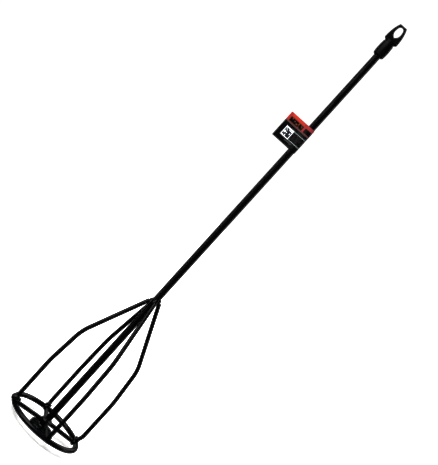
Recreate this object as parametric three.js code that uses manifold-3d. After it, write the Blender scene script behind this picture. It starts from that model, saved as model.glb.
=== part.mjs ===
// A paint mixer for a power drill: a welded cage of round steel bar at the foot of a long drive
// shaft, a moulded hanging cap pushed on the drive end, and a card label folded round the shaft.
// Millimetres, +Z up. The origin is at floor level under the middle of the foot disc.
// -Y is the front, and the label points to -X.

import * as THREE from 'three';
import { mergeVertices } from 'three/addons/utils/BufferGeometryUtils.js';
import Module from 'manifold-3d';

const wasm = await Module();
wasm.setup();

// Fits
const jointGap = 0.3;            // between two pieces that are welded or rest together
const shaftClearance = 0.3;      // round the shaft, inside the cap and the label

// Drive shaft
const toolLength = 600;          // floor to the drive end of the shaft
const shaftDiameter = 8;
const shaftChamfer = 0.8;

// Foot disc
const discDiameter = 30;
const discThickness = 5;
const discEdge = 0.8;            // chamfer on both rims

// Base ring
const ringDiameter = 100;        // over the outside
const ringBar = 6;
const ringLift = 5.8;            // top of the foot disc to the centre of the bar

// Cage rods, each a bar bent in one upright plane. Heights are above the centre of the ring's bar.
const rodBar = 4.8;
const legOverhang = 2.8;         // the leg's centre line stands this far outside the ring's
const footTurn = 40;             // degrees that the foot curls in over the ring
const footBend = 14;             // bend radius
const footLap = 1.2;             // the foot's bend ends this far above the ring's bar
const footTip = 1;               // straight end past the bend
const legTop = 66;               // where the leg starts to lean in
const legTopBend = 150;
const shoulderHeight = 115;
const shoulderInset = 5.2;       // from the leg to the shoulder
const shoulderBend = 55;
const crownHeight = 195;         // where the centre line arrives beside the shaft

// Spokes inside the ring
const spokeBar = 4.8;
const spokeInset = 1.5;          // a spoke's coped end stops this far short of the ring's centre

// Weld beads, as half sizes of a ball: out from the shaft, across the arm and up.
const crownBead = { out: 2.4, across: 3.3, up: 3.6, raise: 1.3 };
const collarBead = 0.9;          // section radius of the collar round a foot or a spoke's end
const hubBead = { width: 3.4, height: 4.6 };
const discBead = { width: 2.8, height: 2.0 };

// The hollow outline of a fillet, as shares of its width and height
const filletOutline = [[1, 0], [0.55, 0.3], [0.2, 0.68], [0, 1]];

// The ball of weld outside a foot, as shares of its size: its half width across the arm, and its
// place outside the middle of the joint and above the ring's bar
const outerBead = { across: 1.08, out: 0.6, up: 0.55 };

// The four arms of the cage, angles in degrees about +Z from +X. They are bent and welded by eye,
// so they differ a little: each spoke has its own rise above the ring's centre at either end, a
// rod may end lower on the shaft, and one foot is held by a ball of weld on the outside.
const arms = [
  { rodAngle: 24.5, spokeAngle: 22, hubRise: 1.5, ringRise: -0.3, crownDrop: 0, outerBall: 0 },
  { rodAngle: 104.2, spokeAngle: 104, hubRise: 0.6, ringRise: 0.5, crownDrop: 0, outerBall: 0 },
  { rodAngle: 207, spokeAngle: 202, hubRise: 0.6, ringRise: 0.5, crownDrop: 3.5, outerBall: 4.5 },
  { rodAngle: 287.5, spokeAngle: 287, hubRise: 0.9, ringRise: 0.5, crownDrop: 1.5, outerBall: 0 },
];

// Hanging cap
const sleeveDiameter = 14.2;     // at the fullest part
const sleeveHeight = 20;
const sleeveBulge = 0.5;         // how much the ends of the sleeve draw in
const sleeveChamfer = 1.4;
const sleeveCover = 12;          // length of shaft inside the sleeve
const neckWidth = 12.2;
const neckHeight = 2.6;          // of the neck above the top of the sleeve
const neckDrop = 1.04;           // the neck begins this far inside the sleeve's height
const loopWidth = 17.2;
const loopTopWidth = 9;
const loopHeight = 24.2;         // from the neck to the flat top
const loopBow = 15.5;            // height that pulls the loop's sides out
const loopThickness = 5;
const loopEdge = 0.7;            // bevel
const eyeWidth = 8.3;
const eyeBottom = 7.5;           // above the neck
const eyeTop = 22.6;
const eyeTip = 1.5;              // half width of the narrow lower end
const eyeTipRound = 0.9;         // height of the round at that end
const eyeBelly = 6.64;           // above the eye's bottom to where it is widest
const eyeFlank = 3.32;           // below the widest part, where the sides start to draw in
const eyeCrown = 0.83;           // below the eye's top, where the round top starts

// Label
const labelDrop = 124;           // drive end of the shaft down to the label's top edge
const labelHeight = 34.5;
const labelReach = 29.5;         // shaft axis to the free edge
const cardThickness = 0.35;
const labelThroat = 9;           // shaft axis to where the two leaves of card meet
const throatGap = 0.02;          // half of the opening left between the leaves there

// Roundness of the facets
const barSides = 10;
const shaftSides = 24;
const discSides = 48;
const ringSides = 64;
const rodSteps = 48;
const beadSides = 14;
const collarSides = 6;
const collarSteps = 15;
const sleeveSteps = 5;
const plateSteps = 7;
const cardSteps = 12;
const samePoint = 1e-4;          // corners closer than this are one corner

// Sizes that follow from those above
const shaftRadius = shaftDiameter / 2;
const ringRadius = (ringDiameter - ringBar) / 2;
const ringHeight = discThickness + ringLift;
const legRadius = ringRadius + legOverhang;
const crownRadius = shaftRadius + rodBar / 2;
const footBendEnd = ringHeight + ringBar / 2 + jointGap + footLap;
const footAngle = THREE.MathUtils.degToRad(footTurn);
const sleeveBottom = toolLength - sleeveCover;
const neckLevel = sleeveBottom + sleeveHeight;

// A closed three.js surface as a solid that can be joined and cut.
function solid(geometry) {
  const bare = geometry.clone();
  bare.deleteAttribute('normal');
  bare.deleteAttribute('uv');
  const merged = mergeVertices(bare, samePoint);
  const corners = Array.from(merged.index.array);
  const triangles = [];
  for (let i = 0; i < corners.length; i += 3) {
    const [a, b, c] = corners.slice(i, i + 3);
    if (a !== b && b !== c && c !== a) triangles.push(a, b, c);
  }
  return new wasm.Manifold(new wasm.Mesh({
    numProp: 3,
    vertProperties: new Float32Array(merged.attributes.position.array),
    triVerts: new Uint32Array(triangles),
  }));
}

function surface(body) {
  const mesh = body.getMesh();
  const geometry = new THREE.BufferGeometry();
  geometry.setAttribute('position', new THREE.BufferAttribute(mesh.vertProperties, 3));
  geometry.setIndex(new THREE.BufferAttribute(mesh.triVerts, 1));
  geometry.computeVertexNormals();
  return geometry;
}

function without(body, cutters) {
  return cutters.reduce((left, cutter) => left.subtract(cutter), body);
}

function radians(degrees) {
  return THREE.MathUtils.degToRad(degrees);
}

// Lathe round +Z of a profile given as [radius, height] points.
function turned(profile, sides) {
  const points = profile.map(([radius, height]) => new THREE.Vector2(radius, height));
  return new THREE.LatheGeometry(points, sides).rotateX(Math.PI / 2);
}

function roundShape(radius) {
  return new THREE.Shape().absarc(0, 0, radius, 0, 2 * Math.PI);
}

// The round part of a bent bar's centre line, from one spoke of the bend to the other.
class Bend extends THREE.Curve {
  constructor(centre, from, to) {
    super();
    this.centre = centre;
    this.from = from;
    this.to = to;
  }

  getPoint(t, target = new THREE.Vector3()) {
    const angle = this.from.angleTo(this.to);
    target.copy(this.from).multiplyScalar(Math.sin((1 - t) * angle) / Math.sin(angle));
    return target.addScaledVector(this.to, Math.sin(t * angle) / Math.sin(angle)).add(this.centre);
  }
}

// A centre line in the XZ plane through [x, z, bend radius] corners.
function bentLine(corners) {
  const line = new THREE.CurvePath();
  const at = corners.map(([x, z]) => new THREE.Vector3(x, 0, z));
  let reached = at[0];
  for (let i = 1; i < corners.length - 1; i += 1) {
    const back = at[i - 1].clone().sub(at[i]).normalize();
    const ahead = at[i + 1].clone().sub(at[i]).normalize();
    const halfAngle = back.angleTo(ahead) / 2;
    const bend = corners[i][2];
    const start = at[i].clone().addScaledVector(back, bend / Math.tan(halfAngle));
    const end = at[i].clone().addScaledVector(ahead, bend / Math.tan(halfAngle));
    const inward = back.clone().add(ahead).normalize();
    const centre = at[i].clone().addScaledVector(inward, bend / Math.sin(halfAngle));
    line.add(new THREE.LineCurve3(reached, start));
    line.add(new Bend(centre, start.clone().sub(centre), end.clone().sub(centre)));
    reached = end;
  }
  line.add(new THREE.LineCurve3(reached, at[at.length - 1]));
  return line;
}

// The drive shaft stands on the foot disc. Grown copies of it cut the pieces that meet it.
function shaftBody(grow) {
  const radius = shaftRadius + grow;
  const foot = discThickness + jointGap;
  return solid(turned([
    [0, foot],
    [radius, foot],
    [radius, toolLength - shaftChamfer],
    [radius - shaftChamfer, toolLength],
    [0, toolLength],
  ], shaftSides));
}

function discBody() {
  const radius = discDiameter / 2;
  return solid(turned([
    [0, 0],
    [radius - discEdge, 0],
    [radius, discEdge],
    [radius, discThickness - discEdge],
    [radius - discEdge, discThickness],
    [0, discThickness],
  ], discSides));
}

function ringBody(grow) {
  const torus = new THREE.TorusGeometry(ringRadius, ringBar / 2 + grow, barSides, ringSides);
  return solid(torus.translate(0, 0, ringHeight));
}

// A rod's foot comes down outside the ring, curls in over it and ends on top of the bar. A grown
// copy is longer at both ends too.
function rodBody(arm, grow) {
  const cornerToTangent = footBend * Math.tan(footAngle / 2);
  const corner = footBendEnd + footBend * Math.sin(footAngle) - cornerToTangent;
  const tip = cornerToTangent + footTip + grow;
  const shoulder = new THREE.Vector2(legRadius - shoulderInset, ringHeight + shoulderHeight);
  const crown = new THREE.Vector2(crownRadius, ringHeight + crownHeight - arm.crownDrop);
  const top = crown.clone().addScaledVector(crown.clone().sub(shoulder).normalize(), grow);
  const line = bentLine([
    [legRadius - tip * Math.sin(footAngle), corner - tip * Math.cos(footAngle)],
    [legRadius, corner, footBend],
    [legRadius, ringHeight + legTop, legTopBend],
    [shoulder.x, shoulder.y, shoulderBend],
    [top.x, top.y],
  ]);
  const bar = new THREE.ExtrudeGeometry(roundShape(rodBar / 2 + grow), {
    extrudePath: line,
    steps: rodSteps,
    curveSegments: barSides / 2,
  });
  return solid(bar.rotateZ(radians(arm.rodAngle)));
}

// A spoke runs from the shaft to the inside of the ring.
function spokeBody(arm, grow) {
  const inner = new THREE.Vector3(shaftRadius / 2, 0, ringHeight + arm.hubRise);
  const outer = new THREE.Vector3(ringRadius - spokeInset, 0, ringHeight + arm.ringRise);
  const bar = new THREE.ExtrudeGeometry(roundShape(spokeBar / 2 + grow), {
    extrudePath: new THREE.LineCurve3(inner, outer),
    steps: 1,
    curveSegments: barSides / 2,
  });
  return solid(bar.rotateZ(radians(arm.spokeAngle)));
}

// A bead of weld is a ball with three half sizes, placed by radius and height on an arm.
function bead(half, grow, radius, height, angle) {
  const ball = new THREE.SphereGeometry(1, beadSides, beadSides / 2);
  ball.scale(half.out + grow, half.across + grow, half.up + grow).translate(radius, 0, height);
  return solid(ball.rotateZ(radians(angle)));
}

// The bead between a rod's cut upper end and the shaft.
function crownWeld(arm, grow) {
  const height = ringHeight + crownHeight - arm.crownDrop + crownBead.raise;
  return bead(crownBead, grow, crownRadius - rodBar / 4, height, arm.rodAngle);
}

// A collar of weld round the end of a bar, lying across +Z until it is turned.
function collar(barDiameter, grow) {
  const around = barDiameter / 2 + jointGap + collarBead / 2;
  return new THREE.TorusGeometry(around, collarBead + grow, collarSides, collarSteps);
}

// The collar round a rod's foot on top of the ring. A ball of weld sits in the notch outside it.
function footWeld(arm) {
  const radius = legRadius - footBend * (1 - Math.cos(footAngle));
  const round = collar(rodBar, 0).rotateY(footAngle).translate(radius, 0, footBendEnd);
  const inner = solid(round.rotateZ(radians(arm.rodAngle)));
  if (arm.outerBall === 0) return inner;
  const size = arm.outerBall;
  const half = { out: size, across: size * outerBead.across, up: size };
  const outward = ringRadius + legOverhang / 2 + size * outerBead.out;
  const height = ringHeight + ringBar / 2 + size * outerBead.up;
  return inner.add(bead(half, 0, outward, height, arm.rodAngle));
}

// The collar round a spoke's outer end, inside the ring.
function spokeWeld(arm, grow) {
  const radius = ringRadius - ringBar / 2 - jointGap - collarBead / 2;
  const round = collar(spokeBar, grow).rotateY(Math.PI / 2);
  round.translate(radius, 0, ringHeight + arm.ringRise);
  return solid(round.rotateZ(radians(arm.spokeAngle)));
}

// A fillet of weld round the shaft, standing on the given level.
function shaftFillet(level, size) {
  const inner = shaftRadius + jointGap;
  const outline = filletOutline.map(([out, up]) => [
    inner + size.width * out,
    level + size.height * up,
  ]);
  return solid(turned([[inner, level], ...outline, [inner, level]], shaftSides));
}

// The cap: a slightly barrelled sleeve with a blind bore, a waist, and a flat hanging loop.
function sleeveOutline() {
  const full = sleeveDiameter / 2;
  const end = full - sleeveBulge;
  const waist = neckWidth / 2;
  const flankTop = neckLevel - neckDrop;
  const bulge = new THREE.QuadraticBezierCurve(
    new THREE.Vector2(end, sleeveBottom + sleeveChamfer),
    new THREE.Vector2(full + sleeveBulge, (sleeveBottom + flankTop) / 2),
    new THREE.Vector2(end, flankTop - (end - waist)),
  );
  return [
    [0, sleeveBottom],
    [end - sleeveChamfer, sleeveBottom],
    ...bulge.getPoints(sleeveSteps).map((point) => [point.x, point.y]),
    [waist, flankTop],
    [waist, neckLevel + neckHeight],
    [0, neckLevel + neckHeight],
  ];
}

function loopShape() {
  const half = loopWidth / 2;
  const top = loopTopWidth / 2;
  const foot = neckWidth / 2 - loopEdge;
  const shape = new THREE.Shape();
  shape.moveTo(-foot, 0);
  shape.lineTo(foot, 0);
  shape.lineTo(half, neckHeight);
  shape.quadraticCurveTo(half, loopBow, top, loopHeight);
  shape.lineTo(-top, loopHeight);
  shape.quadraticCurveTo(-half, loopBow, -half, neckHeight);
  shape.closePath();
  return shape;
}

// The eye is egg-shaped: a wide round top over a narrow lower end.
function eyeShape() {
  const half = eyeWidth / 2;
  const widest = eyeBottom + eyeBelly;
  const roundTop = eyeTop - eyeCrown;
  const tipTop = eyeBottom + eyeTipRound;
  const shape = new THREE.Shape();
  shape.moveTo(-eyeTip, tipTop);
  shape.quadraticCurveTo(0, eyeBottom - eyeTipRound, eyeTip, tipTop);
  shape.quadraticCurveTo(half, widest - eyeFlank, half, widest);
  shape.bezierCurveTo(half, roundTop, half / 2, eyeTop, 0, eyeTop);
  shape.bezierCurveTo(-half / 2, eyeTop, -half, roundTop, -half, widest);
  shape.quadraticCurveTo(-half, widest - eyeFlank, -eyeTip, tipTop);
  shape.closePath();
  return shape;
}

// A flat plate with its outline in the XZ plane, centred on Y = 0.
function uprightPlate(shape, thickness, edge) {
  const plate = new THREE.ExtrudeGeometry(shape, {
    depth: thickness - 2 * edge,
    bevelEnabled: edge > 0,
    bevelThickness: edge,
    bevelSize: edge,
    bevelOffset: -edge,
    bevelSegments: 1,
    curveSegments: plateSteps,
  });
  return solid(plate.translate(0, 0, edge - thickness / 2).rotateX(Math.PI / 2));
}

function capBody() {
  const sleeve = solid(turned(sleeveOutline(), shaftSides));
  const loop = uprightPlate(loopShape(), loopThickness, loopEdge).translate(0, 0, neckLevel);
  const eye = uprightPlate(eyeShape(), loopThickness * 2, 0).translate(0, 0, neckLevel);
  const bore = solid(turned([
    [0, sleeveBottom - sleeveHeight],
    [shaftRadius + shaftClearance, sleeveBottom - sleeveHeight],
    [shaftRadius + shaftClearance, toolLength + jointGap],
    [0, toolLength + jointGap],
  ], shaftSides));
  return sleeve.add(loop).subtract(eye).subtract(bore);
}

// The card is folded round the shaft and its two leaves are glued together on the -X side.
// The teardrop that goes round the shaft has straight sides that touch the circle.
function foldedCard(radius, throatHalf, end) {
  const reach = Math.hypot(labelThroat, throatHalf);
  const touch = Math.PI - Math.atan2(throatHalf, labelThroat) - Math.acos(radius / reach);
  const shape = new THREE.Shape();
  shape.moveTo(-end, -throatHalf);
  shape.lineTo(-labelThroat, -throatHalf);
  shape.absarc(0, 0, radius, -touch, touch);
  shape.lineTo(-labelThroat, throatHalf);
  shape.lineTo(-end, throatHalf);
  shape.closePath();
  return shape;
}

function labelBody() {
  const inner = shaftRadius + shaftClearance;
  const card = foldedCard(inner + cardThickness, cardThickness, labelReach);
  card.holes.push(foldedCard(inner, throatGap, labelThroat));
  const bottom = toolLength - labelDrop - labelHeight;
  const folded = new THREE.ExtrudeGeometry(card, {
    depth: labelHeight,
    bevelEnabled: false,
    curveSegments: cardSteps,
  });
  return solid(folded.translate(0, 0, bottom));
}

// Materials
const blackSteel = new THREE.MeshStandardMaterial({ color: '#17181c', roughness: 0.35, metalness: 0.6 });
const weldMetal = new THREE.MeshStandardMaterial({ color: '#1c1d21', roughness: 0.5, metalness: 0.6 });
const mouldedPlastic = new THREE.MeshStandardMaterial({ color: '#121214', roughness: 0.5, metalness: 0 });
const printedCard = new THREE.MeshStandardMaterial({ color: '#d9412a', roughness: 0.6, metalness: 0 });

const mixer = new THREE.Group();

function addPiece(name, body, material) {
  const piece = new THREE.Mesh(surface(body), material);
  piece.name = name;
  mixer.add(piece);
}

const shaftRoom = shaftBody(jointGap);
const ringRoom = ringBody(jointGap);
const rodRooms = arms.map((arm) => rodBody(arm, jointGap));
const spokeRooms = arms.map((arm) => spokeBody(arm, jointGap));
const crownRooms = arms.map((arm) => crownWeld(arm, jointGap));

addPiece('drive_shaft', shaftBody(0), blackSteel);
addPiece('foot_disc', discBody(), blackSteel);
addPiece('base_ring', ringBody(0), blackSteel);

// Where two spokes or two crown beads come close, the later one gives way.
arms.forEach((arm, i) => {
  const pastSpokes = [shaftRoom, ringRoom, ...spokeRooms.slice(0, i)];
  const pastCrowns = [shaftRoom, rodRooms[i], ...crownRooms.slice(0, i)];
  const steel = [shaftRoom, ringRoom, rodRooms[i], spokeRooms[i]];
  const number = i + 1;
  addPiece(`cage_rod_${number}`, without(rodBody(arm, 0), [shaftRoom, ringRoom]), blackSteel);
  addPiece(`spoke_${number}`, without(spokeBody(arm, 0), pastSpokes), blackSteel);
  addPiece(`crown_weld_${number}`, without(crownWeld(arm, 0), pastCrowns), weldMetal);
  addPiece(`spoke_weld_${number}`, without(spokeWeld(arm, 0), steel), weldMetal);
  steel.push(spokeWeld(arm, jointGap));
  addPiece(`foot_weld_${number}`, without(footWeld(arm), steel), weldMetal);
});

const hubLevel = ringHeight + spokeBar / 4;
addPiece('hub_weld', without(shaftFillet(hubLevel, hubBead), spokeRooms), weldMetal);
addPiece('foot_disc_weld', shaftFillet(discThickness + jointGap, discBead), weldMetal);
addPiece('hanging_cap', capBody(), mouldedPlastic);
addPiece('label', labelBody(), printedCard);

export default mixer;
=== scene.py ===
import math
import bmesh
import bpy
from mathutils import Matrix, Vector


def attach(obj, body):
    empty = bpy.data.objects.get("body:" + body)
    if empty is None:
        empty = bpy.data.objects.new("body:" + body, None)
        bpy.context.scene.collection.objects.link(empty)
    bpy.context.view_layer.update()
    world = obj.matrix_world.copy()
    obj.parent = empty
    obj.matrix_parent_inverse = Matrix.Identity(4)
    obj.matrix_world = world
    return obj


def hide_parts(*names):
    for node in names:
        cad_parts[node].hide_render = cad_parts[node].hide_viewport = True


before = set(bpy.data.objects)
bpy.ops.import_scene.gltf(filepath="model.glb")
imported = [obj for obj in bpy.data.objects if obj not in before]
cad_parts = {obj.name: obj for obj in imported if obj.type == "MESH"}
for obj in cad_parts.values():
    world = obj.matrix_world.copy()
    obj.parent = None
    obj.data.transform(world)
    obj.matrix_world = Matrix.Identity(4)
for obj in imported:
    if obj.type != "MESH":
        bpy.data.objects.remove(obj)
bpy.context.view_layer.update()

mm = 0.001  # every size below is in millimetres


cameraView = {
    "aim": (0.0, 315.4),      # sideways and height of the point looked at
    "sideways": -1.45,        # the aim point's offset in the picture
    "distance": 1181.2,
    "downTilt": 3.47,         # degrees below level
    "lean": 0.34,             # degrees, the shaft's own lean in the picture
    "roll": 42.56,            # degrees, the camera is rolled so that the shaft runs diagonally
    "lens": 83.4,
    "sensor": 36.0,
    "nearest": 0.05, "farthest": 50.0,  # metres
}


def makeCamera():
    tilt, lean, roll = (math.radians(cameraView[k]) for k in ("downTilt", "lean", "roll"))
    ahead = Vector((0, math.cos(tilt), -math.sin(tilt)))
    right = Vector((math.cos(lean), -math.sin(lean) * math.sin(tilt), -math.sin(lean) * math.cos(tilt)))
    up = Vector((math.sin(lean), math.cos(lean) * math.sin(tilt), math.cos(lean) * math.cos(tilt)))
    across, height = cameraView["aim"]
    place = Vector((across, 0, height)) - ahead * cameraView["distance"] - right * cameraView["sideways"]
    rolledRight = right * math.cos(roll) + up * math.sin(roll)
    rolledUp = up * math.cos(roll) - right * math.sin(roll)
    lens = bpy.data.cameras.new("productCamera")
    lens.sensor_fit = "HORIZONTAL"
    lens.sensor_width = cameraView["sensor"]
    lens.lens = cameraView["lens"]
    lens.clip_start, lens.clip_end = cameraView["nearest"], cameraView["farthest"]
    camera = bpy.data.objects.new("productCamera", lens)
    turned = Matrix((rolledRight, rolledUp, -ahead)).transposed().to_4x4()
    camera.matrix_world = Matrix.Translation(place * mm) @ turned
    bpy.context.scene.collection.objects.link(camera)
    bpy.context.scene.camera = camera


makeCamera()
print("camera placed")


def linearColour(hexText):
    channels = [int(hexText[i:i + 2], 16) / 255 for i in (1, 3, 5)]
    linear = [c / 12.92 if c <= 0.04045 else ((c + 0.055) / 1.055) ** 2.4 for c in channels]
    return (*linear, 1.0)


def addNode(tree, kind, settings=None, inputs=None):  # an input is a socket, a value or a hex colour
    node = tree.nodes.new(kind)
    for name, value in (settings or {}).items():
        setattr(node, name, value)
    for name, value in (inputs or {}).items():
        if isinstance(value, bpy.types.NodeSocket):
            tree.links.new(value, node.inputs[name])
        elif isinstance(value, str) and value.startswith("#"):
            node.inputs[name].default_value = linearColour(value)
        else:
            node.inputs[name].default_value = value
    return node


def startMaterial(name, settings):
    material = bpy.data.materials.new(name)
    material.use_nodes = True
    tree = material.node_tree
    tree.nodes.clear()
    surface = addNode(tree, "ShaderNodeBsdfPrincipled", {}, settings)
    addNode(tree, "ShaderNodeOutputMaterial", {}, {"Surface": surface.outputs["BSDF"]})
    return material, tree, surface


def startTree(name, inputs):
    tree = bpy.data.node_groups.new(name, "GeometryNodeTree")
    tree.interface.new_socket("Geometry", in_out="INPUT", socket_type="NodeSocketGeometry")
    for label, kind in inputs.items():
        tree.interface.new_socket(label, in_out="INPUT", socket_type="NodeSocket" + kind)
    tree.interface.new_socket("Geometry", in_out="OUTPUT", socket_type="NodeSocketGeometry")
    return tree, addNode(tree, "NodeGroupInput").outputs


def endTree(tree, geometry, material):
    real = addNode(tree, "GeometryNodeRealizeInstances", {}, {"Geometry": geometry})
    painted = addNode(tree, "GeometryNodeSetMaterial", {},
                      {"Geometry": real.outputs[0], "Material": material})
    addNode(tree, "NodeGroupOutput", {}, {"Geometry": painted.outputs[0]})


def meshPiece(name, points, edges, faces):
    mesh = bpy.data.meshes.new(name)
    mesh.from_pydata([tuple(Vector(p) * mm) for p in points], edges, faces)
    piece = bpy.data.objects.new(name, mesh)
    bpy.context.scene.collection.objects.link(piece)
    return piece


def pointSizes(piece, name, sizes):
    layer = piece.data.attributes.new(name, "FLOAT", "POINT")
    layer.data.foreach_set("value", [size * mm for size in sizes])


def runTree(piece, tree, settings):  # grows the piece with a tree and keeps the plain mesh
    modifier = piece.modifiers.new(tree.name, "NODES")
    modifier.node_group = tree
    for socket in tree.interface.items_tree:
        if socket.in_out == "INPUT" and socket.name in settings:
            modifier[socket.identifier] = settings[socket.name]
    keepResult(piece)


def keepResult(piece):
    graph = bpy.context.evaluated_depsgraph_get()
    made = bpy.data.meshes.new_from_object(piece.evaluated_get(graph), depsgraph=graph)
    piece.modifiers.clear()
    piece.data = made


def standIn(piece, node, body):
    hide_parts(node)
    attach(piece, body)


enamel = {
    "peel": 1.6,              # size of the orange peel that spraying leaves
    "cloud": 14.0,            # size of the thicker and thinner patches of paint
    "cloudSpan": (0.3, 0.7),  # the part of that noise over which the gloss changes
    "dust": 0.9,              # size of the specks of dust, coarser than real so that they show
    "dustColour": "#33353a",
    "dustSpan": (0.68, 0.8), "dustShare": 0.35,  # where a speck starts and is full, and how much it covers
    # each coat: colour where it is thick and thin, roughness, depth and stretch of its peel
    "coats": {
        "stovedEnamel": ("#030406", "#07090e", (0.2, 0.32), 0.03, (1, 1, 1)),
        "drawnBarEnamel": ("#030304", "#07070a", (0.2, 0.34), 0.03, (1, 1, 0.08)),
        "discEnamel": ("#030506", "#060c0e", (0.22, 0.34), 0.03, (1, 1, 1)),
        "weldEnamel": ("#040507", "#0b0c10", (0.18, 0.36), 0.09, (1, 1, 1)),
    },
}


def makeEnamel(name):
    # Stoved black enamel, sprayed straight on the steel: deep black with a soft gloss, a faint
    # orange peel, slow changes of gloss where the coat is thicker, and a little pale dust.
    thick, thin, gloss, peelDepth, stretch = enamel["coats"][name]
    material, tree, surface = startMaterial(name, {"IOR": 1.5, "Specular IOR Level": 0.5})
    place = addNode(tree, "ShaderNodeTexCoord").outputs["Object"]
    stretched = addNode(tree, "ShaderNodeMapping", {}, {"Vector": place, "Scale": stretch}).outputs[0]
    cloud = addNode(tree, "ShaderNodeTexNoise", {},
                    {"Vector": place, "Scale": 1 / (enamel["cloud"] * mm), "Detail": 3.0}).outputs[0]
    coat = addNode(tree, "ShaderNodeMix", {"data_type": "RGBA"}, {0: cloud, 6: thick, 7: thin}).outputs[2]
    dust = addNode(tree, "ShaderNodeTexNoise", {},
                   {"Vector": place, "Scale": 1 / (enamel["dust"] * mm), "Detail": 2.0,
                    "Roughness": 0.7}).outputs[0]
    low, high = enamel["dustSpan"]
    specks = addNode(tree, "ShaderNodeMapRange", {},
                     {"Value": dust, "From Min": low, "From Max": high, "To Max": enamel["dustShare"]})
    dusty = addNode(tree, "ShaderNodeMix", {"data_type": "RGBA"},
                    {0: specks.outputs[0], 6: coat, 7: enamel["dustColour"]})
    tree.links.new(dusty.outputs[2], surface.inputs["Base Color"])
    low, high = enamel["cloudSpan"]
    rough = addNode(tree, "ShaderNodeMapRange", {},
                    {"Value": cloud, "From Min": low, "From Max": high, "To Min": gloss[0],
                     "To Max": gloss[1]})
    tree.links.new(rough.outputs[0], surface.inputs["Roughness"])
    peel = addNode(tree, "ShaderNodeTexNoise", {},
                   {"Vector": stretched, "Scale": 1 / (enamel["peel"] * mm), "Detail": 2.0}).outputs[0]
    bump = addNode(tree, "ShaderNodeBump", {},
                   {"Height": peel, "Strength": 1.0, "Distance": peelDepth * mm})
    tree.links.new(bump.outputs[0], surface.inputs["Normal"])
    return material


moulding = {
    "thick": "#030303", "thin": "#080809",
    "flow": 9.0, "flowSwirl": 1.2,  # size of the flow marks and how much they curl
    "gloss": (0.45, 0.62),
    "grain": 0.45, "relief": 0.05,  # size and depth of the grain, coarser than real so that it shows
    "seam": (0.08, 0.2), "seamHigh": 2.0,  # half widths of the parting line's crest and foot
}


def makeCapPlastic():
    # Injection moulded black polyethylene: a matt, faintly grained skin from the spark-eroded
    # mould, a thin raised parting line where its halves met, and slight flow marks.
    material, tree, surface = startMaterial("mouldedPolyethylene", {"IOR": 1.5, "Specular IOR Level": 0.24})
    place = addNode(tree, "ShaderNodeTexCoord").outputs["Object"]
    flow = addNode(tree, "ShaderNodeTexNoise", {},
                   {"Vector": place, "Scale": 1 / (moulding["flow"] * mm), "Detail": 2.0,
                    "Distortion": moulding["flowSwirl"]}).outputs[0]
    colour = addNode(tree, "ShaderNodeMix", {"data_type": "RGBA"},
                     {0: flow, 6: moulding["thick"], 7: moulding["thin"]})
    tree.links.new(colour.outputs[2], surface.inputs["Base Color"])
    low, high = moulding["gloss"]
    rough = addNode(tree, "ShaderNodeMapRange", {}, {"Value": flow, "To Min": low, "To Max": high})
    tree.links.new(rough.outputs[0], surface.inputs["Roughness"])
    grain = addNode(tree, "ShaderNodeTexNoise", {},
                    {"Vector": place, "Scale": 1 / (moulding["grain"] * mm), "Detail": 1.0}).outputs[0]
    depth = addNode(tree, "ShaderNodeSeparateXYZ", {}, {0: place}).outputs["Y"]
    offset = addNode(tree, "ShaderNodeMath", {"operation": "ABSOLUTE"}, {0: depth}).outputs[0]
    crest, foot = moulding["seam"]
    seam = addNode(tree, "ShaderNodeMapRange", {},
                   {"Value": offset, "From Min": crest * mm, "From Max": foot * mm,
                    "To Min": moulding["seamHigh"], "To Max": 0.0})
    height = addNode(tree, "ShaderNodeMath", {"operation": "ADD"}, {0: grain, 1: seam.outputs[0]}).outputs[0]
    bump = addNode(tree, "ShaderNodeBump", {},
                   {"Height": height, "Strength": 1.0, "Distance": moulding["relief"] * mm})
    tree.links.new(bump.outputs[0], surface.inputs["Normal"])
    return material


steelEnamel = makeEnamel("stovedEnamel")
shaftEnamel = makeEnamel("drawnBarEnamel")
discEnamel = makeEnamel("discEnamel")
weldEnamel = makeEnamel("weldEnamel")
capPlastic = makeCapPlastic()
print("finishes made")


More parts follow.
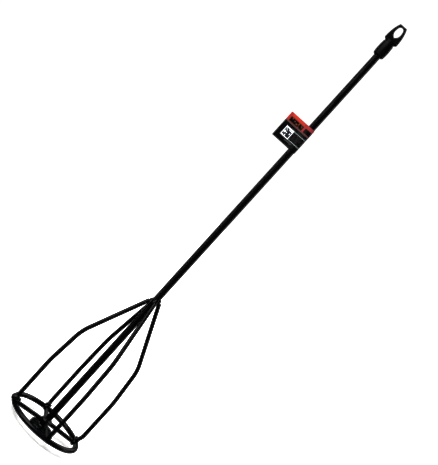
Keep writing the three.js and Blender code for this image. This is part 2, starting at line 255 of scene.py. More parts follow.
def makeBarTree():
    tree, given = startTree("sweptBar", {
        "Sides": "Int", "Unevenness": "Float", "Uneven Length": "Float", "Seed": "Int",
        "Sharp Angle": "Float", "Material": "Material"})
    path = addNode(tree, "GeometryNodeMeshToCurve", {}, {"Mesh": given["Geometry"]}).outputs[0]
    size = addNode(tree, "GeometryNodeInputNamedAttribute", {"data_type": "FLOAT"}, {"Name": "barSize"})
    section = addNode(tree, "GeometryNodeCurvePrimitiveCircle", {},
                      {"Resolution": given["Sides"], "Radius": 1.0})
    bar = addNode(tree, "GeometryNodeCurveToMesh", {},
                  {"Curve": path, "Profile Curve": section.outputs[0], "Scale": size.outputs[0],
                   "Fill Caps": True}).outputs[0]
    finer = addNode(tree, "ShaderNodeMath", {"operation": "DIVIDE"}, {0: 1.0, 1: given["Uneven Length"]})
    noise = addNode(tree, "ShaderNodeTexNoise", {"noise_dimensions": "4D"},
                    {"W": given["Seed"], "Scale": finer.outputs[0], "Detail": 1.0}).outputs[0]
    centred = addNode(tree, "ShaderNodeMath", {"operation": "SUBTRACT"}, {0: noise, 1: 0.5}).outputs[0]
    amount = addNode(tree, "ShaderNodeMath", {"operation": "MULTIPLY"}, {0: centred, 1: given["Unevenness"]})
    outward = addNode(tree, "GeometryNodeInputNormal").outputs[0]
    push = addNode(tree, "ShaderNodeVectorMath", {"operation": "SCALE"},
                   {0: outward, "Scale": amount.outputs[0]}).outputs[0]
    moved = addNode(tree, "GeometryNodeSetPosition", {}, {"Geometry": bar, "Offset": push}).outputs[0]
    smooth = addNode(tree, "GeometryNodeSetShadeSmooth", {"domain": "FACE"}, {"Geometry": moved}).outputs[0]
    angle = addNode(tree, "GeometryNodeInputMeshEdgeAngle").outputs[0]
    sharp = addNode(tree, "FunctionNodeCompare", {"operation": "GREATER_THAN"},
                    {0: angle, 1: given["Sharp Angle"]}).outputs[0]
    creased = addNode(tree, "GeometryNodeSetShadeSmooth", {"domain": "EDGE"},
                      {"Geometry": smooth, "Selection": sharp, "Shade Smooth": False}).outputs[0]
    endTree(tree, creased, given["Material"])
    return tree


barTree = makeBarTree()
barFinish = {"Sides": 28, "Unevenness": 0.10 * mm, "Uneven Length": 7 * mm, "Seed": 3,
             "Sharp Angle": math.radians(38)}


def sweptBar(name, points, sizes, material, closed=False, **changes):
    edges = [(i, i + 1) for i in range(len(points) - 1)]
    if closed:
        edges.append((len(points) - 1, 0))
    piece = meshPiece(name, points, edges, [])
    pointSizes(piece, "barSize", sizes)
    runTree(piece, barTree, {**barFinish, **changes, "Material": material})
    return piece


def cutEnds(points, size, chamfer):  # sizes along a bar whose cut ends are broken with a file
    sizes = [size] * len(points)
    for end, inner in ((0, 1), (-1, -2)):
        back = (Vector(points[inner]) - Vector(points[end])).normalized() * chamfer
        rim = Vector(points[end]) + back
        points.insert(1 if end == 0 else len(points) - 1, rim)
        sizes.insert(1 if end == 0 else len(sizes) - 1, size)
        sizes[end] = size - chamfer
    return points, sizes


# "step" is the spacing of points along a bar, "chamfer" the filed edge of its cut ends
shaft = {
    "diameter": 8.0, "foot": 5.0, "top": 600.0,  # the bar runs from the disc up into the cap
    "chamfer": 0.8, "step": 4.0, "sides": 40, "unevenness": 0.05,
}
ring = {
    "diameter": 100.0, "bar": 6.0,  # over the outside, and of the bar it is bent from
    "height": 10.8,           # of its centre line
    "steps": 220, "seed": 5,
}
rods = {
    "bar": 4.8,
    "overhang": 2.8,          # the leg's centre line stands this far outside the ring's
    "footTurn": 40, "footBend": 14.0,  # degrees that the foot curls in, and the radius of its bend
    "footTip": 2.2, "footEnd": 1.5,    # straight tip after the bend, and the bend's end over the ring
    # heights over the ring's centre line and bend radii: the leg's top, the shoulder and the crown
    "legTop": 66.0, "legBend": 150.0,
    "shoulder": 115.0, "inset": 5.2, "shoulderBend": 55.0,
    "crown": 195.0, "chamfer": 0.5, "step": 1.4, "seed": 10,
}
spokes = {
    "bar": 4.8, "start": 2.0,  # a spoke starts this far from the axis, inside the shaft
    "intoRing": 1.5,          # and ends this far inside the ring's centre line
    "step": 2.0, "seed": 20,
}
# each arm: angle of its rod and its spoke, the spoke's rise at hub and ring, how much lower the rod
# ends, and the size of the ball of weld outside its foot
arms = [
    {"rod": 24.5, "spoke": 22, "hubRise": 1.5, "ringRise": -0.3, "drop": 0.0, "ball": 0.0},
    {"rod": 104.2, "spoke": 104, "hubRise": 0.6, "ringRise": 0.5, "drop": 0.0, "ball": 0.0},
    {"rod": 207, "spoke": 202, "hubRise": 0.6, "ringRise": 0.5, "drop": 3.5, "ball": 4.5},
    {"rod": 287.5, "spoke": 287, "hubRise": 0.9, "ringRise": 0.5, "drop": 1.5, "ball": 0.0},
]
ringRadius = (ring["diameter"] - ring["bar"]) / 2
legRadius = ringRadius + rods["overhang"]
crownRadius = (shaft["diameter"] + rods["bar"]) / 2


def turnedBy(points, degrees):
    turn = Matrix.Rotation(math.radians(degrees), 3, "Z")
    return [turn @ Vector(p) for p in points]


def straightRun(start, end, step):
    start, end = Vector(start), Vector(end)
    count = max(1, round((end - start).length / step))
    return [start.lerp(end, i / count) for i in range(count + 1)]


def bentRun(corners, step):  # a bar's centre line through (x, z, bend radius) corners
    spots = [Vector((x, 0, z)) for x, z, _ in corners]
    points, reached = [], spots[0]
    for i in range(1, len(corners) - 1):
        back = (spots[i - 1] - spots[i]).normalized()
        ahead = (spots[i + 1] - spots[i]).normalized()
        half = back.angle(ahead) / 2
        bend = corners[i][2]
        start = spots[i] + back * bend / math.tan(half)
        end = spots[i] + ahead * bend / math.tan(half)
        centre = spots[i] + (back + ahead).normalized() * bend / math.sin(half)
        points += straightRun(reached, start, step)[:-1]
        swing = math.pi - 2 * half
        count = max(4, round(bend * swing / step))
        for k in range(count):
            before, after = math.sin((1 - k / count) * swing), math.sin(k / count * swing)
            points.append(centre + ((start - centre) * before + (end - centre) * after) / math.sin(swing))
        reached = end
    return points + straightRun(reached, spots[-1], step)


def rodPath(arm):
    turn = math.radians(rods["footTurn"])
    tangent = rods["footBend"] * math.tan(turn / 2)
    bendEnd = ring["height"] + ring["bar"] / 2 + rods["footEnd"]
    corner = bendEnd + rods["footBend"] * math.sin(turn) - tangent
    tip = tangent + rods["footTip"]
    return bentRun([
        (legRadius - tip * math.sin(turn), corner - tip * math.cos(turn), 0),
        (legRadius, corner, rods["footBend"]),
        (legRadius, ring["height"] + rods["legTop"], rods["legBend"]),
        (legRadius - rods["inset"], ring["height"] + rods["shoulder"], rods["shoulderBend"]),
        (crownRadius, ring["height"] + rods["crown"] - arm["drop"], 0),
    ], rods["step"])


def makeShaft():
    points = straightRun((0, 0, shaft["foot"]), (0, 0, shaft["top"]), shaft["step"])
    points, sizes = cutEnds(points, shaft["diameter"] / 2, shaft["chamfer"])
    piece = sweptBar("shaftBar", points, sizes, shaftEnamel, Sides=shaft["sides"],
                     Unevenness=shaft["unevenness"] * mm)
    standIn(piece, "drive_shaft", "mixer")


def makeRing():
    turns = [2 * math.pi * i / ring["steps"] for i in range(ring["steps"])]
    points = [(ringRadius * math.cos(t), ringRadius * math.sin(t), ring["height"]) for t in turns]
    piece = sweptBar("ringBar", points, [ring["bar"] / 2] * len(points), steelEnamel, True,
                     Seed=ring["seed"])
    standIn(piece, "base_ring", "mixer")


def makeRods():
    for number, arm in enumerate(arms, 1):
        points, sizes = cutEnds(rodPath(arm), rods["bar"] / 2, rods["chamfer"])
        piece = sweptBar(f"rodBar{number}", turnedBy(points, arm["rod"]), sizes, steelEnamel,
                         Seed=rods["seed"] + number)
        standIn(piece, f"cage_rod_{number}", "mixer")


def makeSpokes():
    for number, arm in enumerate(arms, 1):
        inner = (spokes["start"], 0, ring["height"] + arm["hubRise"])
        outer = (ringRadius - spokes["intoRing"], 0, ring["height"] + arm["ringRise"])
        points = turnedBy(straightRun(inner, outer, spokes["step"]), arm["spoke"])
        piece = sweptBar(f"spokeBar{number}", points, [spokes["bar"] / 2] * len(points), steelEnamel,
                         Seed=spokes["seed"] + number)
        standIn(piece, f"spoke_{number}", "mixer")


makeShaft()
makeRing()
makeRods()
makeSpokes()
print("bars swept")


disc = {
    "diameter": 30.0, "thickness": 5.0, "edge": 0.8,  # the edge is a small radius all round
    "edgeSteps": 4, "sides": 96,
    "underLine": 0.5, "topLine": 0.6,  # shares of the radius at which its flat faces are divided
}


def turnedPiece(name, profile, sides, material):  # a closed turning, its profile starts and ends on Z
    turns = [2 * math.pi * i / sides for i in range(sides)]
    points, faces = [(0, 0, profile[0][1])], []
    for radius, height in profile[1:-1]:
        points += [(radius * math.cos(turn), radius * math.sin(turn), height) for turn in turns]
    points.append((0, 0, profile[-1][1]))
    rows, last = len(profile) - 2, len(points) - 1
    for i in range(sides):
        j = (i + 1) % sides
        faces.append((0, 1 + j, 1 + i))
        for row in range(rows - 1):
            a, b = 1 + row * sides, 1 + (row + 1) * sides
            faces.append((a + i, a + j, b + j, b + i))
        top = 1 + (rows - 1) * sides
        faces.append((top + i, top + j, last))
    piece = meshPiece(name, points, [], faces)
    piece.data.materials.append(material)
    return piece


def roundedCorner(profile, x, z, radius, startDegrees, steps):  # a quarter round of a turned edge
    for k in range(steps + 1):
        turn = math.radians(startDegrees + 90 * k / steps)
        profile.append((x + radius * math.cos(turn), z + radius * math.sin(turn)))


def makeDisc():
    outer, edge, high = disc["diameter"] / 2, disc["edge"], disc["thickness"]
    profile = [(0, 0), (outer * disc["underLine"], 0)]
    roundedCorner(profile, outer - edge, edge, edge, -90, disc["edgeSteps"])
    roundedCorner(profile, outer - edge, high - edge, edge, 0, disc["edgeSteps"])
    profile += [(outer * disc["topLine"], high), (0, high)]
    piece = turnedPiece("discPlate", profile, disc["sides"], discEnamel)
    piece.data.shade_smooth()
    standIn(piece, "foot_disc", "mixer")


makeDisc()
print("disc turned")


def makeWeldTree():
    tree, given = startTree("weldDrops", {
        "Grain": "Float", "Size Change": "Float", "Wander": "Float", "Softening": "Int", "Seed": "Int",
        "Material": "Material"})
    drops = addNode(tree, "GeometryNodeMeshToPoints", {}, {"Mesh": given["Geometry"]}).outputs[0]
    size = addNode(tree, "GeometryNodeInputNamedAttribute", {"data_type": "FLOAT"}, {"Name": "dropSize"})
    lowest = addNode(tree, "ShaderNodeMath", {"operation": "SUBTRACT"}, {0: 1.0, 1: given["Size Change"]})
    change = addNode(tree, "FunctionNodeRandomValue", {"data_type": "FLOAT"},
                     {2: lowest.outputs[0], 3: 1.0, "Seed": given["Seed"]})
    radius = addNode(tree, "ShaderNodeMath", {"operation": "MULTIPLY"},
                     {0: size.outputs[0], 1: change.outputs[1]})
    back = addNode(tree, "ShaderNodeMath", {"operation": "MULTIPLY"}, {0: given["Wander"], 1: -1.0})
    wander = addNode(tree, "FunctionNodeRandomValue", {"data_type": "FLOAT_VECTOR"},
                     {0: back.outputs[0], 1: given["Wander"], "Seed": given["Seed"]})
    moved = addNode(tree, "GeometryNodeSetPosition", {},
                    {"Geometry": drops, "Offset": wander.outputs[0]}).outputs[0]
    cloud = addNode(tree, "GeometryNodePointsToVolume", {"resolution_mode": "VOXEL_SIZE"},
                    {"Points": moved, "Voxel Size": given["Grain"], "Radius": radius.outputs[0]}).outputs[0]
    skin = addNode(tree, "GeometryNodeVolumeToMesh", {}, {"Volume": cloud, "Threshold": 0.5}).outputs[0]
    spot = addNode(tree, "GeometryNodeInputPosition").outputs[0]
    evened = addNode(tree, "GeometryNodeBlurAttribute", {"data_type": "FLOAT_VECTOR"},
                     {"Value": spot, "Iterations": given["Softening"]}).outputs[0]
    flowed = addNode(tree, "GeometryNodeSetPosition", {}, {"Geometry": skin, "Position": evened}).outputs[0]
    smooth = addNode(tree, "GeometryNodeSetShadeSmooth", {"domain": "FACE"}, {"Geometry": flowed}).outputs[0]
    endTree(tree, smooth, given["Material"])
    return tree


weldTree = makeWeldTree()
# welds are laid as overlapping drops of metal that run together
weldFinish = {"Grain": 0.22 * mm, "Size Change": 0.12, "Wander": 0.1 * mm, "Softening": 2}
beads = {
    "pitch": 0.55, "fewest": 8,  # spacing of the ripples as a share of the drop's size
    "collar": 1.3,            # size of the drops round a foot or a spoke's end
    "collarOut": 0.55,        # their centres stand this far outside the bar
    "spokeBack": 0.35,        # a spoke's collar stands this far inside the ring
    # the ball outside a foot, with smaller lumps round it
    "ballOut": 0.6, "ballUp": 0.55, "ballLess": 0.1, "lumps": 6, "lumpOut": 1.5, "lumpLess": 1.5,
    # the crown's weaving run: rows up the shaft, drops in a row, and how each row steps
    "crownRows": 4, "crownDrops": 5, "crownStart": -0.6, "crownStep": 1.3,
    "crownWide": 2.0, "crownNarrow": 0.4, "crownIn": 0.75, "crownLean": 0.4, "crownRound": 0.12,
    "crownDrop": 1.95, "crownShrink": 0.14,
    # rings of drops round the shaft: (height, distance out from the shaft, drop size)
    "hubUp": 1.2,             # the hub's heights are counted from this far over the ring's centre line
    "hub": ((1.4, 1.5, 2.0), (3.2, 0.3, 1.5)),
    "disc": ((0.3, 1.4, 1.8),),
    "seeds": {"crown": 30, "foot": 40, "spoke": 50, "hub": 61, "disc": 62},
}


def weldPiece(name, drops, node, seed):  # drops: (point, size) pairs
    piece = meshPiece(name, [p for p, _ in drops], [], [])
    pointSizes(piece, "dropSize", [s for _, s in drops])
    runTree(piece, weldTree, {**weldFinish, "Seed": seed, "Material": weldEnamel})
    standIn(piece, node, "mixer")


def dropLoop(centre, axis, radius, size):  # a closed run of drops round a bar
    axis = Vector(axis).normalized()
    side = axis.orthogonal().normalized()
    count = max(beads["fewest"], round(2 * math.pi * radius / (size * beads["pitch"])))
    drops = []
    for i in range(count):
        turn = Matrix.Rotation(2 * math.pi * i / count, 3, axis)
        drops.append((Vector(centre) + turn @ side * radius, size))
    return drops


def turnedDrops(drops, degrees):
    points = turnedBy([p for p, _ in drops], degrees)
    return list(zip(points, [s for _, s in drops]))


def makeCrownWelds():
    for number, arm in enumerate(arms, 1):
        start = ring["height"] + rods["crown"] - arm["drop"] + beads["crownStart"]
        drops = []
        for row in range(beads["crownRows"]):  # over the cut end and up the shaft
            width = beads["crownWide"] - beads["crownNarrow"] * row
            size = beads["crownDrop"] - beads["crownShrink"] * row
            for k in range(beads["crownDrops"]):
                across = width * (2 * k / (beads["crownDrops"] - 1) - 1)
                inward = beads["crownIn"] + beads["crownLean"] * row + beads["crownRound"] * across ** 2
                drops.append(((crownRadius - inward, across, start + beads["crownStep"] * row), size))
        weldPiece(f"crownBead{number}", turnedDrops(drops, arm["rod"]), f"crown_weld_{number}",
                  beads["seeds"]["crown"] + number)


def makeFootWelds():
    turn = math.radians(rods["footTurn"])
    radius = legRadius - rods["footBend"] * (1 - math.cos(turn))
    level = ring["height"] + ring["bar"] / 2 + rods["footEnd"]
    for number, arm in enumerate(arms, 1):
        drops = dropLoop((radius, 0, level), (math.sin(turn), 0, math.cos(turn)),
                         rods["bar"] / 2 + beads["collarOut"], beads["collar"])
        if arm["ball"]:  # a heap of weld in the notch outside the foot
            centre = Vector((ringRadius + rods["overhang"] / 2 + beads["ballOut"] * arm["ball"], 0,
                             ring["height"] + ring["bar"] / 2 + beads["ballUp"] * arm["ball"]))
            drops.append((centre, arm["ball"] - beads["ballLess"]))
            for k in range(beads["lumps"]):  # three unlike steps scatter the lumps
                lean = Vector((math.cos(k * 1.9), math.sin(k * 1.3), math.sin(k * 2.3)))
                drops.append((centre + lean * beads["lumpOut"], arm["ball"] - beads["lumpLess"]))
        weldPiece(f"footBead{number}", turnedDrops(drops, arm["rod"]), f"foot_weld_{number}",
                  beads["seeds"]["foot"] + number)


def makeSpokeWelds():
    for number, arm in enumerate(arms, 1):
        centre = (ringRadius - ring["bar"] / 2 - beads["spokeBack"], 0, ring["height"] + arm["ringRise"])
        drops = dropLoop(centre, (1, 0, 0), spokes["bar"] / 2 + beads["collarOut"], beads["collar"])
        weldPiece(f"spokeBead{number}", turnedDrops(drops, arm["spoke"]), f"spoke_weld_{number}",
                  beads["seeds"]["spoke"] + number)


def makeShaftWelds():
    for name, level, node in (("hub", ring["height"] + beads["hubUp"], "hub_weld"),
                              ("disc", disc["thickness"], "foot_disc_weld")):
        drops = []
        for rise, out, size in beads[name]:
            drops += dropLoop((0, 0, level + rise), (0, 0, 1), shaft["diameter"] / 2 + out, size)
        weldPiece(name + "Bead", drops, node, beads["seeds"][name])


makeCrownWelds()
makeFootWelds()
makeSpokeWelds()
makeShaftWelds()
print("welds laid")


cap = {
    # the sleeve's mouth and length, its width, its barrel shape and the chamfer of its mouth
    "bottom": 588.0, "sleeve": 20.0, "diameter": 14.2, "draw": 0.5, "chamfer": 1.4,
    "bore": 4.3, "boreTop": 600.3, "mouth": 0.6,  # radius, closed end and lead-in of the hole
    "waist": 12.2, "waistRise": 2.6, "waistDrop": 1.04,  # the narrow neck under the loop
    # the hanging loop's outline, its heights counted from the sleeve's top
    "loopWide": 17.2, "loopTop": 9.0, "loopHigh": 24.2, "loopThick": 5.0, "loopBow": 15.5,
    "loopFoot": 0.7, "loopEdge": 0.7,
    # the eye: a drop with its tip down
    "eyeWide": 8.3, "eyeLow": 7.5, "eyeHigh": 22.6, "eyeTip": 1.5, "eyeBelly": 6.64,
    "eyeFlank": 3.32, "eyeCrown": 0.83, "eyeTipRound": 0.9, "eyeTipPull": 0.6,
    # points along each curve of the outlines, then how the parts are melted into one moulding
    "barrelSteps": 12, "bowSteps": 16, "eyeSteps": (3, 8, 10), "edgeSteps": 3,
    "sides": 72, "voxel": 0.26, "softening": 3,
}


def quadratic(a, b, c, steps):
    a, b, c = (Vector((*p, 0)) for p in (a, b, c))
    return [tuple(a.lerp(b, t).lerp(b.lerp(c, t), t).xy) for t in (i / steps for i in range(1, steps + 1))]


def cubic(a, b, c, d, steps):
    a, b, c, d = (Vector((*p, 0)) for p in (a, b, c, d))
    found = []
    for t in (i / steps for i in range(1, steps + 1)):
        ab, bc, cd = a.lerp(b, t), b.lerp(c, t), c.lerp(d, t)
        found.append(tuple(ab.lerp(bc, t).lerp(bc.lerp(cd, t), t).xy))
    return found


def capSleeve():
    full = cap["diameter"] / 2
    end, waist = full - cap["draw"], cap["waist"] / 2
    neck = cap["bottom"] + cap["sleeve"]
    flank = neck - cap["waistDrop"]
    profile = [(0, cap["boreTop"]), (cap["bore"], cap["boreTop"]),
               (cap["bore"], cap["bottom"] + cap["mouth"]), (cap["bore"] + cap["mouth"], cap["bottom"]),
               (end - cap["chamfer"], cap["bottom"]),
               (end, cap["bottom"] + cap["chamfer"])]
    profile += quadratic(profile[-1], (full + cap["draw"], (cap["bottom"] + flank) / 2),
                         (end, flank - (end - waist)), cap["barrelSteps"])
    profile += [(waist, flank), (waist, neck + cap["waistRise"]), (0, neck + cap["waistRise"])]
    return profile


def loopOutline():
    half, top, high = cap["loopWide"] / 2, cap["loopTop"] / 2, cap["loopHigh"]
    foot = cap["waist"] / 2 - cap["loopFoot"]
    side = [(foot, 0), (half, cap["waistRise"])]
    side += quadratic(side[-1], (half, cap["loopBow"]), (top, high), cap["bowSteps"])
    return side + [(-x, z) for x, z in reversed(side)]


def eyeOutline():
    half, low, high, tip = cap["eyeWide"] / 2, cap["eyeLow"], cap["eyeHigh"], cap["eyeTip"]
    belly, start = low + cap["eyeBelly"], (tip, low + cap["eyeTipRound"])
    tipSteps, flankSteps, crownSteps = cap["eyeSteps"]
    side = quadratic((0, low), (tip * cap["eyeTipPull"], low), start, tipSteps)
    side += quadratic(start, (half, belly - cap["eyeFlank"]), (half, belly), flankSteps)
    side += cubic((half, belly), (half, high - cap["eyeCrown"]), (half / 2, high), (0, high), crownSteps)
    return [(0, low)] + side + [(-x, z) for x, z in reversed(side[:-1])]


def plateWithHole(outline, hole, thickness, level, edge):  # flat plate in XZ with bevelled rims
    curve = bpy.data.curves.new("loopPlate", "CURVE")
    curve.dimensions = "2D"
    curve.fill_mode = "BOTH"
    curve.extrude = (thickness / 2 - edge) * mm
    curve.bevel_depth = edge * mm
    curve.bevel_resolution = cap["edgeSteps"]
    curve.offset = -edge * mm
    for loop in (outline, hole):
        line = curve.splines.new("POLY")
        line.points.add(len(loop) - 1)
        for point, (x, z) in zip(line.points, loop):
            point.co = (x * mm, z * mm, 0, 1)
        line.use_cyclic_u = True
    plate = bpy.data.objects.new("loopPlate", curve)
    bpy.context.scene.collection.objects.link(plate)
    graph = bpy.context.evaluated_depsgraph_get()
    mesh = bpy.data.meshes.new_from_object(plate.evaluated_get(graph), depsgraph=graph)
    bpy.data.objects.remove(plate)
    mesh.transform(Matrix.Translation((0, 0, level * mm)) @ Matrix.Rotation(math.pi / 2, 4, "X"))
    return mesh


def makeCap():
    sleeve = turnedPiece("capSleeve", capSleeve()[::-1], cap["sides"], capPlastic)
    loop = plateWithHole(loopOutline(), eyeOutline(), cap["loopThick"], cap["bottom"] + cap["sleeve"],
                         cap["loopEdge"])
    piece = bpy.data.objects.new("hangingCap", loop)
    bpy.context.scene.collection.objects.link(piece)
    shape = bmesh.new()
    shape.from_mesh(sleeve.data)
    shape.from_mesh(loop)
    bmesh.ops.remove_doubles(shape, verts=shape.verts, dist=1e-7)
    bmesh.ops.recalc_face_normals(shape, faces=shape.faces)
    shape.to_mesh(loop)
    shape.free()
    bpy.data.objects.remove(sleeve)
    melt = piece.modifiers.new("oneShot", "REMESH")
    melt.mode = "VOXEL"
    melt.voxel_size = cap["voxel"] * mm
    melt.use_smooth_shade = True
    soften = piece.modifiers.new("mouldRadii", "SMOOTH")
    soften.iterations = cap["softening"]
    keepResult(piece)
    piece.data.materials.clear()
    piece.data.materials.append(capPlastic)
    standIn(piece, "hanging_cap", "hanging_cap")


makeCap()
print("cap moulded")


label = {
    "top": 476.0, "high": 34.5,
    "reach": 29.5, "throat": 9.0,  # from the shaft's axis to the free edge, and to where the leaves meet
    "radius": 4.47, "card": 0.34,  # the turn round the shaft, at the middle of the card's thickness
    "glue": 0.02,             # between the two leaves
    "rows": 36, "step": 0.6, "wrapSteps": 40,
    "curl": 0.25, "curlStart": 1.2, "curlTurn": 2.6,  # the free edge's slight wave, in mm and radians
}
# Inks, each laid over the ones above it, on a block of the card (left, right, top, bottom) in
# millimetres along the card from the front leaf's free edge and down from its top. "cells" are
# random filled cells (wide, high, filled share, seed) that stand for lettering, small print or a code.
printAndPaintedShade = [
    {"block": (-1, 100, -1, 11.4), "inkAndShade": "#ab462a"},
    {"block": (-1, 2.6, -1, 11.4), "inkAndShade": "#b73a27"},
    {"block": (3, 21, -1, 3.4), "inkAndShade": "#c3512b"},
    # painted shade: this darker crimson stands for the shade where the card bends round the shaft
    {"block": (24.6, 40, -1, 11.4), "inkAndShade": "#ad3845"},
    {"block": (-1, 100, 10.2, 11.4), "inkAndShade": "#8a5852"},
    {"block": (3.2, 22.4, 4.2, 9.9), "inkAndShade": "#0e0808", "cells": (0.95, 1.42, 0.9, 3)},
    {"block": (25.2, 40, 4.2, 9.9), "inkAndShade": "#0e0808", "cells": (0.95, 1.42, 0.93, 4)},
    {"block": (42, 60, 4.2, 9.9), "inkAndShade": "#0e0808", "cells": (1.05, 1.35, 0.8, 9)},
    {"block": (8.6, 34, 12.8, 14.3), "inkAndShade": "#5f8488", "cells": (0.5, 0.5, 0.55, 5), "strength": 0.04},
    {"block": (5.9, 17.4, 15.2, 28.0), "inkAndShade": "#dcdfe3"},
    {"block": (7.2, 16.2, 17.2, 26.6), "inkAndShade": "#15151e", "cells": (1.3, 1.35, 0.74, 7)},
    {"block": (17.4, 39.5, 15.5, 16.1), "inkAndShade": "#c9d2d1"},
    {"block": (17.4, 39.5, 26.9, 27.5), "inkAndShade": "#c9d2d1"},
    {"block": (19, 21.6, 18.2, 25), "inkAndShade": "#6e5a5c", "cells": (0.7, 0.7, 0.5, 6), "strength": 0.12},
    {"block": (24.8, 38, 17.6, 25.6), "inkAndShade": "#6f7072", "cells": (0.5, 0.8, 0.4, 8), "strength": 0.05},
    {"block": (14, 25, 28.9, 30.2), "inkAndShade": "#8d9a9a", "cells": (0.5, 0.6, 0.6, 2), "strength": 0.3},
    {"block": (42, 61, 14, 22), "inkAndShade": "#9a9a9a", "cells": (0.55, 0.9, 0.45, 11), "strength": 0.4},
    {"block": (44, 59, 24, 31), "inkAndShade": "#e6e7e9"},
    {"block": (45, 58, 24.6, 30.4), "inkAndShade": "#141414", "cells": (0.42, 30, 0.5, 12)},
]


uvSpan = 100.0  # millimetres of card to one unit of its map
card = {
    "body": ("#060607", "#0c0c0e"),      # the black that is printed under everything
    "mottle": 22.0, "fibre": 160.0,      # patches of ink and fibres of card along 100 mm
    "gloss": (0.34, 0.5), "relief": 0.02,
    "edge": ("#3a3634", "#6a645e"), "edgeFibre": 0.6,
}


def labelPath():
    t, radius, reach = (label["card"] + label["glue"]) / 2, label["radius"], label["reach"]
    throat = Vector((-label["throat"], -t, 0))
    touch = math.pi - math.atan2(t, label["throat"]) - math.acos(radius / throat.length)
    front = straightRun((-reach, -t, 0), throat, label["step"])[:-1]
    tangent = Vector((radius * math.cos(touch), -radius * math.sin(touch), 0))
    front += straightRun(throat, tangent, label["step"])[:-1]
    count = label["wrapSteps"]
    wrap = [Vector((radius * math.cos(a), radius * math.sin(a), 0))
            for a in (-touch + 2 * touch * i / count for i in range(count + 1))]
    return front + wrap + [Vector((p.x, -p.y, 0)) for p in reversed(front)]


def patchMask(tree, split, patch):  # where on the card one patch of colour is laid, and how strongly
    left, right, top, bottom = patch["block"]
    tests = [("GREATER_THAN", split[0], left), ("LESS_THAN", split[0], right),
             ("GREATER_THAN", split[1], top), ("LESS_THAN", split[1], bottom)]
    masks = [addNode(tree, "ShaderNodeMath", {"operation": test}, {0: way, 1: limit / uvSpan}).outputs[0]
             for test, way, limit in tests]
    if "cells" in patch:
        wide, high, share, seed = patch["cells"]
        counted = []
        for way, pitch in ((split[0], wide), (split[1], high)):
            scaled = addNode(tree, "ShaderNodeMath", {"operation": "MULTIPLY"}, {0: way, 1: uvSpan / pitch})
            whole = addNode(tree, "ShaderNodeMath", {"operation": "FLOOR"}, {0: scaled.outputs[0]})
            counted.append(whole.outputs[0])
        cell = addNode(tree, "ShaderNodeCombineXYZ", {}, {0: counted[0], 1: counted[1], 2: float(seed)})
        value = addNode(tree, "ShaderNodeTexWhiteNoise", {"noise_dimensions": "3D"},
                        {"Vector": cell.outputs[0]})
        filled = addNode(tree, "ShaderNodeMath", {"operation": "LESS_THAN"}, {0: value.outputs[0], 1: share})
        masks.append(filled.outputs[0])
    if "strength" in patch:
        masks.append(patch["strength"])
    mask = masks[0]
    for other in masks[1:]:
        mask = addNode(tree, "ShaderNodeMath", {"operation": "MULTIPLY"}, {0: mask, 1: other}).outputs[0]
    return mask


def makeLabelPrintAndShade():
    # Offset print on white card under a clear laminate: satin inks with crisp edges, a slightly
    # uneven lay of colour, and a soft sheen from the film. One darker crimson block is painted shade
    # where the card bends round the shaft.
    material, tree, surface = startMaterial("laminatedPrintAndShade", {"IOR": 1.45, "Specular IOR Level": 0.25})
    place = addNode(tree, "ShaderNodeUVMap", {"uv_map": "cardPlace"}).outputs[0]
    split = addNode(tree, "ShaderNodeSeparateXYZ", {}, {0: place}).outputs
    mottle = addNode(tree, "ShaderNodeTexNoise", {},
                     {"Vector": place, "Scale": card["mottle"], "Detail": 2.0}).outputs[0]
    dark, light = card["body"]
    inkAndShade = addNode(tree, "ShaderNodeMix", {"data_type": "RGBA"}, {0: mottle, 6: dark, 7: light}).outputs[2]
    for patch in printAndPaintedShade:
        mask = patchMask(tree, split, patch)
        laid = addNode(tree, "ShaderNodeMix", {"data_type": "RGBA"}, {0: mask, 6: inkAndShade, 7: patch["inkAndShade"]})
        inkAndShade = laid.outputs[2]
    tree.links.new(inkAndShade, surface.inputs["Base Color"])
    low, high = card["gloss"]
    rough = addNode(tree, "ShaderNodeMapRange", {}, {"Value": mottle, "To Min": low, "To Max": high})
    tree.links.new(rough.outputs[0], surface.inputs["Roughness"])
    fibre = addNode(tree, "ShaderNodeTexNoise", {},
                    {"Vector": place, "Scale": card["fibre"], "Detail": 2.0}).outputs[0]
    bump = addNode(tree, "ShaderNodeBump", {},
                   {"Height": fibre, "Strength": 1.0, "Distance": card["relief"] * mm})
    tree.links.new(bump.outputs[0], surface.inputs["Normal"])
    return material


def makeCardCore():
    # The cut edge of greyboard-white card: pale, dull and fibrous.
    material, tree, surface = startMaterial("cutCardEdge", {"Specular IOR Level": 0.2, "Roughness": 0.85})
    place = addNode(tree, "ShaderNodeTexCoord").outputs["Object"]
    fibre = addNode(tree, "ShaderNodeTexNoise", {},
                    {"Vector": place, "Scale": 1 / (card["edgeFibre"] * mm), "Detail": 3.0})
    dark, light = card["edge"]
    colour = addNode(tree, "ShaderNodeMix", {"data_type": "RGBA"}, {0: fibre.outputs[0], 6: dark, 7: light})
    tree.links.new(colour.outputs[2], surface.inputs["Base Color"])
    return material


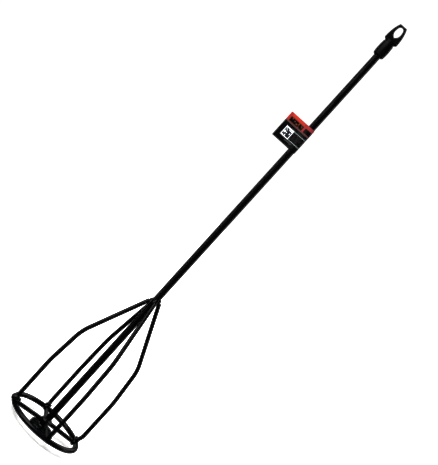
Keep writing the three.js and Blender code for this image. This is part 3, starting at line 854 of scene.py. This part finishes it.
def makeLabel():
    path = labelPath()
    run = [0.0]
    for a, b in zip(path, path[1:]):
        run.append(run[-1] + (b - a).length)
    rows, columns = label["rows"], len(path)
    points, faces = [], []
    for r in range(rows + 1):
        drop = label["high"] * r / rows
        for p in path:
            far = max(0.0, (-p.x - label["throat"]) / (label["reach"] - label["throat"]))
            wave = label["curl"] * far * far * math.sin(label["curlStart"] + label["curlTurn"] * r / rows)
            points.append((p.x, p.y + wave, label["top"] - drop))
    for r in range(rows):
        for c in range(columns - 1):
            a = r * columns + c
            faces.append((a, a + columns, a + columns + 1, a + 1))
    piece = meshPiece("cardLabel", points, [], faces)
    layer = piece.data.uv_layers.new(name="cardPlace")
    for loop in piece.data.loops:
        r, c = divmod(loop.vertex_index, columns)
        layer.data[loop.index].uv = (run[c] / uvSpan, label["high"] * r / rows / uvSpan)
    piece.data.shade_smooth()
    piece.data.materials.append(makeLabelPrintAndShade())
    piece.data.materials.append(makeCardCore())
    wall = piece.modifiers.new("cardThickness", "SOLIDIFY")
    wall.thickness = label["card"] * mm
    wall.offset = 0
    wall.material_offset_rim = 1
    keepResult(piece)
    standIn(piece, "label", "label")


makeLabel()
print("label folded")


studio = {
    "floor": "#fbfbfa", "floorSize": 6.0,
    "floorGlow": 0.12,        # lit a little from below, which softens the shadows
    "backdrop": 1.02,         # brightness of the tent behind the object
    "fill": 1.12,             # of its light on everything
    "sheen": 0.04,            # of its reflection, kept low so that black stays black
    # softboxes: place in metres, what each is aimed at, its size and its power in watts
    "softboxes": {
        "keySoftbox": ((-1.0, -0.9, 1.6), (0, 0, 0.25), (1.0, 0.8), 20),
        "rimSoftbox": ((0.7, 1.3, 1.1), (0, 0, 0.2), (0.9, 0.6), 5),
        # tall narrow ones that draw a soft line of light down the upright bars
        "leftStrip": ((-1.15, -0.65, 0.4), (0, 0, 0.3), (0.22, 1.3), 1.2),
        "rightStrip": ((1.25, 0.25, 0.4), (0, 0, 0.3), (0.22, 1.3), 1.2),
        "backStrip": ((-0.5, 1.2, 0.4), (0, 0, 0.3), (0.22, 1.3), 1.2),
    },
    # the print's contrast: blacks and middle greys held down, white at white
    "contrast": ((0.008, 0.003), (0.02, 0.011), (0.05, 0.023), (0.15, 0.038), (0.3, 0.078), (0.5, 0.20),
                 (0.75, 0.48), (0.9, 0.76)),
}


def makeFloor():
    size = studio["floorSize"] / mm
    floor = meshPiece("studioFloor", [(-size, -size, 0), (size, -size, 0), (size, size, 0), (-size, size, 0)],
                      [], [(0, 1, 2, 3)])
    # Matt white paper sweep, lit from below: no reflection and almost no shadow.
    material = startMaterial("whitePaperSweep", {
        "Base Color": studio["floor"], "Roughness": 0.9, "Specular IOR Level": 0.0,
        "Emission Color": "#ffffff", "Emission Strength": studio["floorGlow"]})[0]
    floor.data.materials.append(material)
    floor.visible_glossy = False


def makeSky():
    world = bpy.data.worlds.new("studioTent")
    world.use_nodes = True
    tree = world.node_tree
    tree.nodes.clear()
    rays = addNode(tree, "ShaderNodeLightPath").outputs
    lit = addNode(tree, "ShaderNodeMapRange", {},
                  {"Value": rays["Is Glossy Ray"], "To Min": studio["fill"], "To Max": studio["sheen"]})
    power = addNode(tree, "ShaderNodeMapRange", {},
                    {"Value": rays["Is Camera Ray"], "To Min": lit.outputs[0], "To Max": studio["backdrop"]})
    tent = addNode(tree, "ShaderNodeBackground", {}, {"Color": "#ffffff", "Strength": power.outputs[0]})
    addNode(tree, "ShaderNodeOutputWorld", {}, {"Surface": tent.outputs[0]})
    bpy.context.scene.world = world


def makeSoftboxes():
    for name, (place, aim, size, power) in studio["softboxes"].items():
        lamp = bpy.data.lights.new(name, "AREA")
        lamp.shape = "RECTANGLE"
        lamp.size, lamp.size_y = size
        lamp.energy = power
        box = bpy.data.objects.new(name, lamp)
        way = Vector(aim) - Vector(place)
        box.matrix_world = Matrix.Translation(place) @ way.to_track_quat("-Z", "Y").to_matrix().to_4x4()
        bpy.context.scene.collection.objects.link(box)


def setContrast():
    colours = bpy.context.scene.view_settings
    colours.view_transform = "Standard"
    colours.use_curve_mapping = True
    for light, shown in studio["contrast"]:
        colours.curve_mapping.curves[3].points.new(light, shown)
    colours.curve_mapping.update()


makeFloor()
makeSky()
makeSoftboxes()
setContrast()
print("studio lit")
